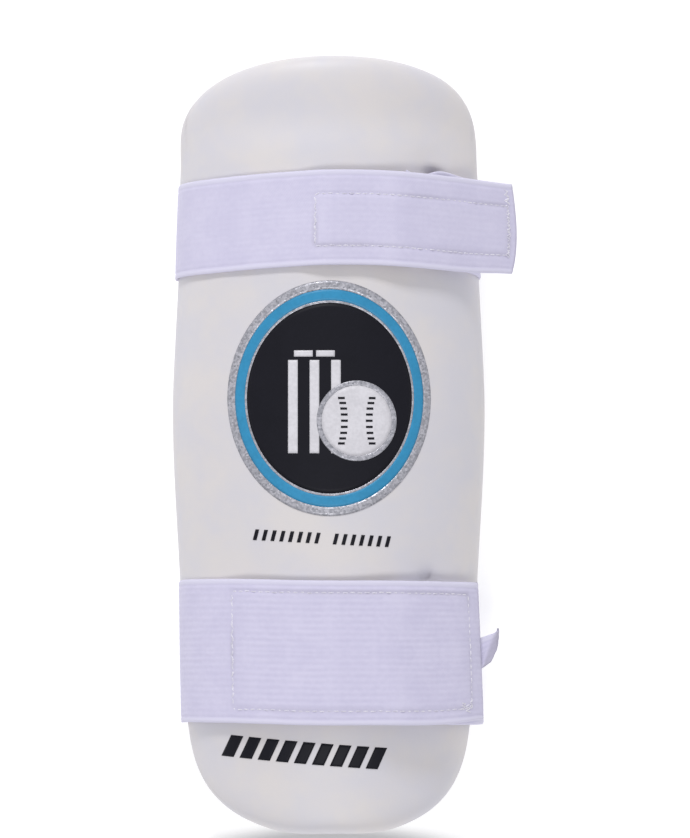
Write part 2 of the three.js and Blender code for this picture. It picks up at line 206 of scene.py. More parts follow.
def fade(tree, value, start, end):
    """A share that grows smoothly from 0 at start to 1 at end."""
    node = tree.nodes.new("ShaderNodeMapRange")
    node.interpolation_type = "SMOOTHSTEP"
    tree.links.new(value, node.inputs["Value"])
    node.inputs["From Min"].default_value = start
    node.inputs["From Max"].default_value = end
    return node.outputs["Result"]


def mix_colours(tree, share, first, second):
    """A colour between two, by a share, and its output."""
    node = tree.nodes.new("ShaderNodeMix")
    node.data_type = "RGBA"
    tree.links.new(share, node.inputs["Factor"])
    for socket, value in ((node.inputs["A"], first), (node.inputs["B"], second)):
        if isinstance(value, bpy.types.NodeSocket):
            tree.links.new(value, socket)
        else:
            socket.default_value = value
    return node.outputs["Result"]


def new_material(name, roughness):
    """A material with its shader's roughness set, its tree and its shader."""
    material = bpy.data.materials.new(name)
    material.use_nodes = True
    shader = material.node_tree.nodes["Principled BSDF"]
    shader.inputs["Roughness"].default_value = roughness
    return material, material.node_tree, shader


def colour(red, green, blue):
    """A colour as it looks on a screen, 0 to 255, as the shader's linear numbers."""
    parts = [part / 255 for part in (red, green, blue)]
    linear = [p / 12.92 if p <= 0.04045 else ((p + 0.055) / 1.055) ** 2.4 for p in parts]
    return (*linear, 1)


# Soft cloudiness: two sizes of noise as a share from 0 to 1, for skin, cloth and prints alike
cloud_group, entry, leave = new_group("soft_clouds", (("Size", 0.02), ("Fine share", 0.35)), "Share")
per_metre = maths(cloud_group, "DIVIDE", 1.0, entry.outputs["Size"])
coarse = cloud_group.nodes.new("ShaderNodeTexNoise")
fine = cloud_group.nodes.new("ShaderNodeTexNoise")
cloud_group.links.new(entry.outputs["Vector"], coarse.inputs["Vector"])
cloud_group.links.new(entry.outputs["Vector"], fine.inputs["Vector"])
cloud_group.links.new(per_metre, coarse.inputs["Scale"])
cloud_group.links.new(maths(cloud_group, "MULTIPLY", per_metre, 6.0), fine.inputs["Scale"])
blend = cloud_group.nodes.new("ShaderNodeMix")
cloud_group.links.new(entry.outputs["Fine share"], blend.inputs["Factor"])
cloud_group.links.new(coarse.outputs["Fac"], blend.inputs["A"])
cloud_group.links.new(fine.outputs["Fac"], blend.inputs["B"])
cloud_group.links.new(fade(cloud_group, blend.outputs["Result"], 0.3, 0.7), leave.inputs["Share"])


def clouds(tree, vector, size, fine_share):
    """Soft cloudiness in a material, and its output."""
    node = tree.nodes.new("ShaderNodeGroup")
    node.node_tree = cloud_group
    node.inputs["Size"].default_value = size
    node.inputs["Fine share"].default_value = fine_share
    tree.links.new(vector, node.inputs["Vector"])
    return node.outputs["Share"]


def bump(tree, height, shader, distance, strength=1.0):
    """A height carried to the shader's normal."""
    node = tree.nodes.new("ShaderNodeBump")
    node.inputs["Distance"].default_value = distance
    node.inputs["Strength"].default_value = strength
    tree.links.new(height, node.inputs["Height"])
    tree.links.new(node.outputs["Normal"], shader.inputs["Normal"])


def object_place(tree):
    """The place on the object itself, for the noises of its material."""
    return tree.nodes.new("ShaderNodeTexCoord").outputs["Object"]


# The skin is off-white with faint warm and cool clouds, and a grain that shows only in raking light.
skin, tree, shader = new_material("foam_skin", 0.5)
place = object_place(tree)
tone = clouds(tree, place, 28 * mm, 0.2)
off_white = mix_colours(tree, tone, colour(214, 212, 219), colour(222, 217, 216))
tree.links.new(off_white, shader.inputs["Base Color"])
polish = maths(tree, "MULTIPLY_ADD", clouds(tree, place, 9 * mm, 0.5), 0.05, 0.48)
tree.links.new(polish, shader.inputs["Roughness"])
grain = tree.nodes.new("ShaderNodeTexNoise")
grain.inputs["Scale"].default_value = 1400
grain.inputs["Detail"].default_value = 3
tree.links.new(place, grain.inputs["Vector"])
bump(tree, grain.outputs["Fac"], shader, 0.05 * mm, 0.35)
pad.data.materials.clear()
pad.data.materials.append(skin)

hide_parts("pad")
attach(pad, "root")

# The upper strap
# A length of woven elastic with lengthwise ribs between two rolled selvedges. It is sewn to the face at
# its inner end, runs round the arm, and closes over itself with hook tape under its free end.
WIDEST = 56.75 * mm
ARCH_RISE = 38 * mm
SIDE_RADIUS = 30 * mm
SKIRT = 14 * mm
STRAP_CORNER = 8 * mm
STRAP_THICKNESS = 1.4 * mm
TAPE_THICKNESS = 1.3 * mm
CLEARANCE = 0.15 * mm
LOOP_INSET = 1.9 * mm
LAYER_RAMP = 18 * mm
SELVEDGE = 1.7 * mm
GROOVE = 0.15 * mm
EDGE_ROUNDING = 0.5 * mm
RIB_START = 2.9 * mm
RIB_PITCH = 2.2 * mm
SEAM_CORNER = 1 * mm
SEAM_DEPTH = 0.26 * mm
SEAM_PUCKER = 0.12 * mm
SEAM_SPREAD = 0.8 * mm
TAPE_SWELL = 0.1 * mm
WAVE = 0.28 * mm
GATHER = 25 * mm
GATHERED_SHARE = 0.04
BOWED_LENGTH = 11 * mm
WAVER = 0.3 * mm


class Loop:
    """A taut band's run over the pad's three-centred arch, down its sides and across the open back."""

    def __init__(self, half_width):
        share = half_width / WIDEST
        self.half_width = half_width
        self.rise = ARCH_RISE * share
        self.side = SIDE_RADIUS * share
        inset = half_width - self.side
        self.crown = (inset**2 + self.rise**2 - self.side**2) / (2 * (self.rise - self.side))
        self.crown_angle = math.atan2(inset, self.crown - self.rise)
        self.crown_arc = self.crown * self.crown_angle
        self.arch = self.crown_arc + self.side * (math.pi / 2 - self.crown_angle)
        self.wall = self.arch + SKIRT - STRAP_CORNER
        self.turn = self.wall + STRAP_CORNER * math.pi / 2
        self.half = self.turn + half_width - STRAP_CORNER

    def place(self, distance):
        """Across, up from the foot, and the outward angle from +Z, that far round from the crown."""
        turned = distance % (2 * self.half)
        side = -1 if turned > self.half else 1
        s = 2 * self.half - turned if side < 0 else turned
        if s < self.crown_arc:
            angle = s / self.crown
            x = self.crown * math.sin(angle)
            z = SKIRT + self.rise - self.crown * (1 - math.cos(angle))
        elif s < self.arch:
            angle = self.crown_angle + (s - self.crown_arc) / self.side
            x = self.half_width - self.side * (1 - math.sin(angle))
            z = SKIRT + self.side * math.cos(angle)
        elif s < self.wall:
            angle = math.pi / 2
            x = self.half_width
            z = SKIRT - (s - self.arch)
        elif s < self.turn:
            angle = math.pi / 2 + (s - self.wall) / STRAP_CORNER
            x = self.half_width - STRAP_CORNER * (1 - math.sin(angle))
            z = STRAP_CORNER * (1 + math.cos(angle))
        else:
            angle = math.pi
            x = self.half - s
            z = 0
        return side * x, z, side * angle

    def carry(self, distance, along, out, leave=math.inf):
        """A point of a flat band, by its distance round from the crown, bent onto the guard."""
        x, z, angle = self.place(min(distance, leave))
        past = max(distance - leave, 0)
        return Vector((
            middle_x + x + out * math.sin(angle) + past * math.cos(angle),
            along,
            pad_low.z + z + out * math.cos(angle) - past * math.sin(angle),
        ))


def smooth_step(value, start, end):
    """A share that grows smoothly from 0 at start to 1 at end."""
    share = min(max((value - start) / (end - start), 0), 1)
    return share * share * (3 - 2 * share)


def read_table(table, place):
    """A value at one place, along a smooth curve through a table's rows of place and value."""
    last = len(table) - 1
    high = min(next((i for i, row in enumerate(table) if row[0] > place), last), last)
    high = max(high, 1)
    (start, first), (end, second) = table[high - 1], table[high]
    slopes = []
    for i in (high - 1, high):
        before, after = table[max(i - 1, 0)], table[min(i + 1, last)]
        slopes.append((after[1] - before[1]) / (after[0] - before[0]))
    span = end - start
    t = min(max((place - start) / span, 0), 1)
    value = (1 + 2 * t) * (1 - t) ** 2 * first + t**2 * (3 - 2 * t) * second
    return value + t * (1 - t) ** 2 * span * slopes[0] + t**2 * (t - 1) * span * slopes[1]


class Strap:
    """The sizes of one strap, and what bends a flat piece of it onto the guard.

    Distances run round the arm from the crown, and the free end lies one lap past the sewn one."""

    def __init__(self, node, width, middle, base, rib_height, lean, left_draw, right_draw):
        low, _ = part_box(node)
        self.node = node
        self.width = width
        self.middle = middle
        self.base = base
        self.rib_height = rib_height
        self.lean = lean
        self.draws = (left_draw, right_draw)
        self.loop = Loop(middle_x - low.x - LOOP_INSET)
        self.lap = 2 * self.loop.half
        self.leave = math.inf

    def ends_at(self, end, bow, slant):
        """Where the free end is, how far its middle bows out and its upper corner draws in."""
        self.end = end
        self.bow = bow
        self.slant = slant

    def take_tape(self, start, margin, width, drop):
        """Where the hook tape lies under the free end."""
        self.tape = (self.lap + start, self.end - margin)
        self.tape_width = width
        self.tape_drop = drop

    def sew_round(self, start, end, low, high):
        """The rectangle of stitches that holds the tape."""
        self.seam_middle = Vector((self.lap + (start + end) / 2, (low + high) / 2))
        self.seam_half = Vector(((end - start) / 2, (high - low) / 2))

    def lift(self, distance):
        """How far the strap lies off the pad, as it climbs onto the tape and onto its own sewn end."""
        on_tape = smooth_step(distance, self.tape[0] - LAYER_RAMP / 2, self.tape[0] + LAYER_RAMP / 4)
        on_base = smooth_step(distance, self.lap + self.base - LAYER_RAMP, self.lap + self.base)
        over_tape = (TAPE_THICKNESS + CLEARANCE) * on_tape
        over_base = (STRAP_THICKNESS + CLEARANCE) * on_base
        return CLEARANCE + over_tape + over_base

    def shift(self, distance):
        """How far the strap's middle line strays along the pad."""
        return self.width * read_table(self.lean, (distance - self.base) / (self.end - self.base))

    def from_seam(self, x, y):
        """Signed distance from the line of stitches round the tape, a rectangle with round corners."""
        away_x = abs(x - self.seam_middle.x) - self.seam_half.x + SEAM_CORNER
        away_y = abs(y - self.seam_middle.y) - self.seam_half.y + SEAM_CORNER
        return math.hypot(max(away_x, 0), max(away_y, 0)) + min(max(away_x, away_y), 0) - SEAM_CORNER

    def face(self, x, y):
        """Height of the strap's face over its underside: selvedges, ribs, the sunk seam and waves."""
        from_edge = self.width / 2 - abs(y)
        height = STRAP_THICKNESS - GROOVE * bell(from_edge - SELVEDGE - 0.4 * mm, 0.5 * mm)
        height -= EDGE_ROUNDING * (1 - smooth_step(from_edge, -0.5 * mm, 0.8 * mm))
        uneven = 0.65 + 0.7 * noise.noise(Vector((x * 45, y * 160, self.middle)))
        ribs = smooth_step(from_edge, SELVEDGE + 0.3 * mm, RIB_START)
        rib = math.cos(2 * math.pi * (from_edge - RIB_START) / RIB_PITCH)
        height += self.rib_height * ribs * uneven * rib
        seam = self.from_seam(x, y)
        pucker = noise.noise(Vector((x * 260, y * 260, 1 + self.middle)))
        height -= (SEAM_DEPTH + SEAM_PUCKER * pucker) * bell(seam, SEAM_SPREAD)
        height += TAPE_SWELL * smooth_step(-seam, 0, 3 * mm)
        height += TAPE_SWELL * pucker * bell(seam, 3 * mm)
        return height + WAVE * noise.noise(Vector((x * 60, y * 25, self.middle)))

    def draw_in(self, spot, up):
        """Pulls a point in to the pad's side, by its place up the strap's width, from 0 to 1."""
        low, high = self.draws[1 if spot.x > middle_x else 0]
        share = (low + (high - low) * up) / self.loop.half_width
        spot.x = middle_x + (spot.x - middle_x) * (1 - share)
        return spot

    def bend(self, piece):
        """Bends a piece drawn flat, X round the arm and Z off the pad, onto the guard.

        The cloth is gathered a little towards both of its ends, and the free end bows out."""
        for corner in piece.data.vertices:
            x, y, z = corner.co
            v = 2 * y / self.width
            reach = self.bow * (1 - v * v) * (1 - 0.3 * v) - self.slant * (1 + v) / 2
            run = x + reach * smooth_step(x, self.end - BOWED_LENGTH, self.end)
            waver = WAVER * noise.noise(Vector((x * 40, self.middle, 0)))
            near_end = 1 + smooth_step(x, self.end - GATHER, self.end)
            near_end -= smooth_step(x, self.base, self.base + GATHER)
            along = self.middle + self.shift(x) + y * (1 - GATHERED_SHARE * near_end) + waver
            spot = self.loop.carry(run, along, self.lift(x) + z, self.leave)
            corner.co = self.draw_in(spot, (1 + v) / 2)
        piece.data.update()


# The weave: fine threads across the ribs
weave_group, entry, leave_node = new_group("elastic_weave", (("Thread", 0.0005),), "Height")
split = weave_group.nodes.new("ShaderNodeSeparateXYZ")
weave_group.links.new(entry.outputs["Vector"], split.inputs["Vector"])
turns = maths(weave_group, "DIVIDE", 2 * math.pi, entry.outputs["Thread"])
across = maths(weave_group, "SINE", maths(weave_group, "MULTIPLY", split.outputs["X"], turns))
row_turns = maths(weave_group, "MULTIPLY", split.outputs["Y"], turns)
along = maths(weave_group, "SINE", maths(weave_group, "MULTIPLY", row_turns, 0.5))
weave_group.links.new(
    maths(weave_group, "MULTIPLY_ADD", maths(weave_group, "MULTIPLY", across, along), 0.5, 0.5),
    leave_node.inputs["Height"],
)


def webbing_material(name, painted_rib_shade):
    """Lilac-white elastic with painted shade between its ribs and in its seams; its selvedges are paler,
    partly as painted highlight.
    """
    material, tree, shader = new_material(name, 0.8)
    flat = tree.nodes.new("ShaderNodeUVMap")
    flat.uv_map = "flat"
    split = tree.nodes.new("ShaderNodeSeparateXYZ")
    tree.links.new(flat.outputs["UV"], split.inputs["Vector"])
    cloudy = clouds(tree, flat.outputs["UV"], 11 * mm, 0.4)
    body = mix_colours(tree, cloudy, colour(208, 204, 229), colour(216, 212, 235))
    # Painted shade in the valleys between the ribs, in patches.
    per_rib = 2 * math.pi / RIB_PITCH
    turned = maths(tree, "MULTIPLY_ADD", split.outputs["Y"], per_rib, -per_rib * RIB_START)
    rib = maths(tree, "MULTIPLY_ADD", maths(tree, "COSINE", turned), -0.5 * painted_rib_shade, 0.5 * painted_rib_shade)
    patchy = maths(tree, "MULTIPLY", rib, clouds(tree, flat.outputs["UV"], 15 * mm, 0.4))
    with_painted_rib_shade = mix_colours(tree, patchy, body, colour(190, 185, 213))
    # Paler at the selvedges: in part a painted highlight on their rolled edges.
    at_edge = maths(tree, "SUBTRACT", 1.0, fade(tree, split.outputs["Y"], 1.2 * mm, 2.3 * mm))
    edged = mix_colours(tree, at_edge, with_painted_rib_shade, colour(219, 216, 236))
    # Painted shade in the seam's crease and at the tab's fold, carried by the cloth.
    painted_crease_shade = tree.nodes.new("ShaderNodeAttribute")
    painted_crease_shade.attribute_name = "painted_crease_shade"
    with_painted_crease_shade = mix_colours(tree, painted_crease_shade.outputs["Fac"], edged, colour(176, 172, 190))
    tree.links.new(with_painted_crease_shade, shader.inputs["Base Color"])
    weave = tree.nodes.new("ShaderNodeGroup")
    weave.node_tree = weave_group
    weave.inputs["Thread"].default_value = 0.6 * mm
    tree.links.new(flat.outputs["UV"], weave.inputs["Vector"])
    bump(tree, weave.outputs["Height"], shader, 0.06 * mm, 0.45)
    shader.inputs["Sheen Weight"].default_value = 0.1
    shader.inputs["Sheen Roughness"].default_value = 0.5
    return material


def flat_strip(name, start, end, width, step, columns):
    """A flat grid of cloth, X round the arm and Y along the pad, its flat place kept for the weave."""
    bpy.ops.mesh.primitive_grid_add(
        x_subdivisions=round((end - start) / step), y_subdivisions=columns, size=1, location=(0, 0, 0)
    )
    strip = bpy.context.object
    strip.name = name
    strip.data.name = name
    strip.data.transform(Matrix.Diagonal((end - start, width, 1, 1)))
    strip.data.transform(Matrix.Translation(((start + end) / 2, 0, 0)))
    for old in list(strip.data.uv_layers):
        strip.data.uv_layers.remove(old)
    layer = strip.data.uv_layers.new(name="flat")
    for spot in strip.data.loops:
        corner = strip.data.vertices[spot.vertex_index].co
        layer.data[spot.index].uv = (corner.x, width / 2 - abs(corner.y))
    return strip


def give_thickness(strip, thickness):
    """The underside and edges of the cloth, below the face that was drawn."""
    wall = strip.modifiers.new("thickness", "SOLIDIFY")
    wall.thickness = thickness
    wall.offset = -1
    bpy.ops.object.modifier_apply(modifier=wall.name)
    bpy.ops.object.shade_smooth()


def hand_over(piece, material, node=None):
    """Gives a finished piece its material and its body, and hides the CAD node that it stands for."""
    piece.data.materials.clear()
    piece.data.materials.append(material)
    if node:
        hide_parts(node)
    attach(piece, "root")
    piece.select_set(False)


def webbing(strap, step, columns, material):
    """The strap's cloth, drawn flat with its relief, with painted shade in patches along its seam, and
    bent round.
    """
    band = flat_strip(strap.node + "_webbing", strap.base, strap.end, strap.width, step, columns)
    # Painted shade in patches along the seam, kept on the cloth for its material.
    painted_crease_shades = band.data.attributes.new("painted_crease_shade", "FLOAT", "POINT")
    for corner, painted_crease_shade in zip(band.data.vertices, painted_crease_shades.data):
        seam = strap.from_seam(corner.co.x, corner.co.y)
        patch = 0.5 + noise.noise(Vector((corner.co.x * 70, corner.co.y * 70, 7)))
        painted_crease_shade.value = 0.6 * min(max(patch, 0.1), 0.9) * bell(seam, SEAM_SPREAD)
        corner.co.z = strap.face(corner.co.x, corner.co.y)
    give_thickness(band, STRAP_THICKNESS)
    strap.bend(band)
    hand_over(band, material, strap.node)


# How far the strap's middle line strays along the pad, as shares of its length and of its width
upper_lean = (
    (0.0, 0.03), (0.015, -0.024), (0.042, 0.02), (0.075, -0.042), (0.15, -0.1),
    (0.4, -0.11), (0.55, -0.107), (0.62, -0.082), (0.67, -0.055), (0.715, -0.026),
    (0.76, -0.006), (0.82, -0.008), (0.87, -0.024), (0.92, -0.054), (1.0, -0.078),
)
upper = Strap(
    "upper_strap",
    width=33.8 * mm,
    middle=80.9 * mm,
    base=27 * mm,
    rib_height=0.02 * mm,
    lean=upper_lean,
    left_draw=(0.3 * mm, 1.4 * mm),
    right_draw=(1 * mm, 1 * mm),
)
upper.leave = upper.lap + upper.loop.crown_arc
upper.ends_at(upper.leave + 27.2 * mm, bow=2.1 * mm, slant=0)
upper.take_tape(start=-5 * mm, margin=3 * mm, width=20 * mm, drop=1.3 * mm)
upper.sew_round(start=-6.2 * mm, end=upper.end - upper.lap - 3 * mm, low=-10 * mm, high=8.4 * mm)
webbing(upper, 1 * mm, 100, webbing_material("narrow_elastic", painted_rib_shade=0.12))

# The upper strap's hook tape
# White woven tape with nylon hooks, sewn under the end of the strap with its hooks to the arm.
hook_cloth, tree, shader = new_material("hook_tape", 0.75)
flat_place = tree.nodes.new("ShaderNodeUVMap")
flat_place.uv_map = "flat"
hooks = tree.nodes.new("ShaderNodeTexVoronoi")
hooks.inputs["Scale"].default_value = 900
tree.links.new(flat_place.outputs["UV"], hooks.inputs["Vector"])
tree.links.new(
    mix_colours(tree, hooks.outputs["Distance"], colour(240, 239, 247), colour(204, 201, 220)),
    shader.inputs["Base Color"],
)
bump(tree, hooks.outputs["Distance"], shader, 0.3 * mm, 0.8)


def hook_tape(strap, node):
    """The tape that stands for a node, drawn flat under its strap's cloth and bent with it."""
    tape = flat_strip(node + "_tape", *strap.tape, strap.tape_width, 1.5 * mm, 16)
    for corner in tape.data.vertices:
        corner.co.y -= strap.tape_drop
        corner.co.z = -CLEARANCE
    give_thickness(tape, TAPE_THICKNESS)
    strap.bend(tape)
    hand_over(tape, hook_cloth, node)


hook_tape(upper, "upper_hook_patch")

# The upper strap's stitches
# White polyester thread, once round the tape's edge, with a zigzag across both of its ends.
THREAD_RADIUS = 0.21 * mm
STITCH_LIFT = 0.1 * mm
STITCH_SAG = 0.26 * mm
STITCH_SINK = 0.3 * mm
STITCH_WAVER = 0.3 * mm
thread, tree, shader = new_material("sewing_thread", 0.6)
place = object_place(tree)
fluff = tree.nodes.new("ShaderNodeTexNoise")
fluff.inputs["Scale"].default_value = 3000
tree.links.new(place, fluff.inputs["Vector"])
tree.links.new(
    mix_colours(tree, clouds(tree, place, 4 * mm, 0.5), colour(211, 208, 223), colour(240, 238, 246)),
    shader.inputs["Base Color"],
)
bump(tree, fluff.outputs["Fac"], shader, 0.1 * mm, 0.8)
shader.inputs["Sheen Weight"].default_value = 0.3


def seam_line(strap):
    """The seam's closed line in the flat strap, as close points turning from +X to +Y."""
    line = []
    for across, up, start in ((1, 1, 0), (-1, 1, 90), (-1, -1, 180), (1, -1, 270)):
        hub = strap.seam_middle + Vector((
            across * (strap.seam_half.x - SEAM_CORNER), up * (strap.seam_half.y - SEAM_CORNER)
        ))
        for part in range(9):
            angle = math.radians(start + 90 * part / 8)
            line.append(hub + SEAM_CORNER * Vector((math.cos(angle), math.sin(angle))))
    return line + line[:1]


def walk(line, spacing, length):
    """Stitches of one length at even steps along a line, as pairs of their two ends."""
    pairs = []
    step = 0
    for first, second in zip(line, line[1:]):
        run = (second - first).length
        while step < run:
            middle = first.lerp(second, step / run)
            reach = (second - first).normalized() * length / 2
            pairs.append((middle - reach, middle + reach))
            step += spacing
        step -= run
    return pairs


def zigzag(x, low, high, amplitude, pitch):
    """Stitches that swing to and fro across one line up the flat strap."""
    count = round((high - low) / pitch)
    points = []
    for i in range(count + 1):
        points.append(Vector((x + amplitude * (-1) ** i, low + (high - low) * i / count)))
    return list(zip(points, points[1:]))


def sew(name, strap, pairs):
    """One bent stitch of thread, copied from point to point, joined and bent onto the guard."""
    copies = []
    bpy.ops.mesh.primitive_uv_sphere_add(segments=8, ring_count=6, radius=THREAD_RADIUS)
    first = bpy.context.object
    first.data.transform(Matrix.Rotation(math.pi / 2, 4, "Y"))
    for start, end in pairs:
        stitch = bpy.data.objects.new(name, first.data.copy())
        bpy.context.scene.collection.objects.link(stitch)
        half = (end - start).length / 2
        middle = (start + end) / 2
        waver = STITCH_WAVER * noise.noise(Vector((middle.x * 500, middle.y * 500, 3)))
        turn = math.atan2(end.y - start.y, end.x - start.x)
        for corner in stitch.data.vertices:
            if abs(corner.co.x) > 1e-7:
                corner.co.x += math.copysign(half - THREAD_RADIUS, corner.co.x)
            corner.co.z -= STITCH_SAG * (corner.co.x / half) ** 2
        sunk = STITCH_SINK * noise.noise(Vector((middle.x * 400, middle.y * 400, 5)))
        height = strap.face(middle.x, middle.y) + STITCH_LIFT + sunk
        stitch.data.transform(Matrix.Rotation(turn, 4, "Z"))
        stitch.data.transform(Matrix.Translation((middle.x, middle.y + waver, height)))
        copies.append(stitch)
    bpy.data.objects.remove(first)
    for stitch in copies:
        stitch.select_set(True)
    bpy.context.view_layer.objects.active = copies[0]
    bpy.ops.object.join()
    seam = bpy.context.object
    bpy.ops.object.shade_smooth()
    strap.bend(seam)
    hand_over(seam, thread)


low_y = upper.seam_middle.y - upper.seam_half.y
high_y = upper.seam_middle.y + upper.seam_half.y
left_x = upper.seam_middle.x - upper.seam_half.x
pairs = walk(seam_line(upper), spacing=2.4 * mm, length=1.9 * mm)
# Each zigzag's place round the arm, its two ends, how far it swings and how long its stitches are
for row in (
    (upper.end - 3.4 * mm, low_y - 1 * mm, high_y + 6.4 * mm, 0.9 * mm, 1.1 * mm),
    (upper.end - 2.9 * mm, low_y - 0.5 * mm, high_y + 6 * mm, 0.7 * mm, 1.4 * mm),
    (left_x, low_y + 2 * mm, high_y - 1 * mm, 0.5 * mm, 1.7 * mm),
):
    pairs += zigzag(*row)
sew("upper_stitches", upper, pairs)

# The lower strap
# The same elastic, half as wide again, with ribs that show more. Its free end lies on the pad's side.
lower_lean = (
    (0.0, 0.006), (0.15, -0.036), (0.4, -0.016), (0.56, -0.034), (0.62, -0.012), (0.69, 0.001),
    (0.78, -0.002), (0.86, -0.008), (1.0, -0.016),
)
lower = Strap(
    "lower_strap",
    width=51.2 * mm,
    middle=-72.95 * mm,
    base=22 * mm,
    rib_height=0.045 * mm,
    lean=lower_lean,
    left_draw=(1.9 * mm, 1.1 * mm),
    right_draw=(-0.5 * mm, 1.3 * mm),
)
lower.ends_at(lower.lap + 57.6 * mm, bow=0.3 * mm, slant=0.8 * mm)
lower.take_tape(start=-34 * mm, margin=6 * mm, width=44 * mm, drop=0)
lower.sew_round(start=-36.8 * mm, end=51.3 * mm, low=-20.6 * mm, high=21.2 * mm)
webbing(lower, 1.1 * mm, 150, webbing_material("wide_elastic", painted_rib_shade=0.32))

# The lower strap's hook tape
# A wide piece of the same woven tape with nylon hooks, sewn under the lower strap's free end so that it
# holds to the strap's own face.
hook_tape(lower, "lower_hook_patch")

# The lower strap's stitches
# The same thread, once round the tape, with a knot of back stitches in the lower right corner.
low_y = lower.seam_middle.y - lower.seam_half.y
high_y = lower.seam_middle.y + lower.seam_half.y
knot_x = lower.seam_middle.x + lower.seam_half.x - 2.6 * mm
left_x = lower.seam_middle.x - lower.seam_half.x
pairs = walk(seam_line(lower), spacing=2.5 * mm, length=1.9 * mm)
for row in (
    (left_x, low_y + 2 * mm, high_y - 2 * mm, 0.6 * mm, 1.9 * mm),
    (knot_x - 1.4 * mm, low_y - 0.5 * mm, low_y + 2.2 * mm, 0.9 * mm, 0.6 * mm),
    (knot_x + 0.5 * mm, low_y - 1.6 * mm, low_y + 1.5 * mm, 1.1 * mm, 0.8 * mm),
    (knot_x + 2 * mm, low_y - 0.2 * mm, low_y + 2.6 * mm, 0.7 * mm, 0.7 * mm),
):
    pairs += zigzag(*row)
sew("lower_stitches", lower, pairs)

# The side tab
# A scrap of the wide elastic, caught between the strap's two layers, that bends out, folds near its end
# and was cut off askew.
TAB_ROOT = 5 * mm
TAB_WIDTH = 11.6 * mm
TAB_THICKNESS = 0.8 * mm
TAB_LENGTH = 8.6 * mm
TAB_CUT = 0.55
TAB_OUT_ANGLE = 54
TAB_FOLD_ANGLE = 66
TAB_STEP = 0.05 * mm
TAB_HEIGHT = 2.9 * mm
tab_middle = lower.middle - 2.6 * mm
tab = flat_strip("side_tab_webbing", 0, 1, TAB_WIDTH, 1 / 28, 24)
# The tab is darker past its fold: painted shade of the part that turns away from the light.
painted_fold_shade = tab.data.attributes.new("painted_crease_shade", "FLOAT", "POINT")
for corner, painted_crease_shade in zip(tab.data.vertices, painted_fold_shade.data):
    painted_crease_shade.value = 0.75 * smooth_step(corner.co.x, 0.62, 0.78)
# The tab's course past the strap's end: bent out from the pad's side, then folded back near its own end
path = [Vector((0, 0))]
for step in range(200):
    past = step * TAB_STEP
    bent_out = TAB_OUT_ANGLE * smooth_step(past, 0, 2.4 * mm)
    slope = math.radians(bent_out - TAB_FOLD_ANGLE * smooth_step(past, 6.6 * mm, 8.6 * mm))
    path.append(path[-1] + TAB_STEP * Vector((math.cos(slope), math.sin(slope))))
for corner in tab.data.vertices:
    y = corner.co.y
    corner.co.x *= TAB_ROOT + TAB_LENGTH + TAB_CUT * y
    corner.co.z = 0.06 * mm * math.cos(2 * math.pi * y / RIB_PITCH)
give_thickness(tab, TAB_THICKNESS)
for corner in tab.data.vertices:
    x, y, z = corner.co
    past = max(x - TAB_ROOT, 0)
    spot = path[min(round(past / TAB_STEP), len(path) - 1)]
    root, foot, angle = lower.loop.place(lower.end - TAB_ROOT + min(x, TAB_ROOT))
    off = TAB_HEIGHT + z + spot.y
    corner.co = Vector((
        middle_x + root + off * math.sin(angle) + spot.x * math.cos(angle),
        tab_middle + y + past * (0.52 - 0.03 * y / mm),
        pad_low.z + foot + off * math.cos(angle) - spot.x * math.sin(angle),
    ))
tab.data.update()
hand_over(tab, webbing_material("tab_elastic", 0.4), "side_tab")

# The badge
# An oval transfer of thin film pressed onto the face: a rim of silver glitter, a blue band with a silver
# line inside it, and a ball over stumps and bails in white on black.
BADGE_HALF = Vector((36.2 * mm, 41.7 * mm))
BADGE_MIDDLE = Vector((middle_x - 1.0 * mm, 16.8 * mm))


def film_material(name, tone, roughness, gloss):
    """A smooth printed film, a little uneven in tone and gloss."""
    material, tree, shader = new_material(name, roughness)
    shader.inputs["Specular IOR Level"].default_value = gloss
    place = object_place(tree)
    uneven = clouds(tree, place, 7 * mm, 0.5)
    darker = tuple(0.86 * part for part in tone[:3]) + (1,)
    tree.links.new(mix_colours(tree, uneven, darker, tone), shader.inputs["Base Color"])
    grain = tree.nodes.new("ShaderNodeTexNoise")
    grain.inputs["Scale"].default_value = 1100
    tree.links.new(place, grain.inputs["Vector"])
    bump(tree, grain.outputs["Fac"], shader, 0.06 * mm, 0.4)
    return material


black_film = film_material("black_film", colour(26, 26, 34), 0.5, 0.15)
blue_film = film_material("blue_film", colour(56, 148, 194), 0.42, 0.3)
white_film = film_material("white_film", colour(226, 224, 230), 0.45, 0.4)

silver_film, tree, shader = new_material("silver_glitter_film", 0.4)
flakes = tree.nodes.new("ShaderNodeTexVoronoi")
flakes.inputs["Scale"].default_value = 1500
tree.links.new(object_place(tree), flakes.inputs["Vector"])
flake = tree.nodes.new("ShaderNodeSeparateColor")
tree.links.new(flakes.outputs["Color"], flake.inputs["Color"])
tree.links.new(
    mix_colours(tree, flake.outputs["Red"], colour(148, 149, 157), colour(200, 199, 207)),
    shader.inputs["Base Color"],
)
gloss = maths(tree, "MULTIPLY_ADD", flake.outputs["Green"], 0.4, 0.25)
tree.links.new(gloss, shader.inputs["Roughness"])
shader.inputs["Metallic"].default_value = 0.35
bump(tree, flake.outputs["Blue"], shader, 0.1 * mm, 0.5)


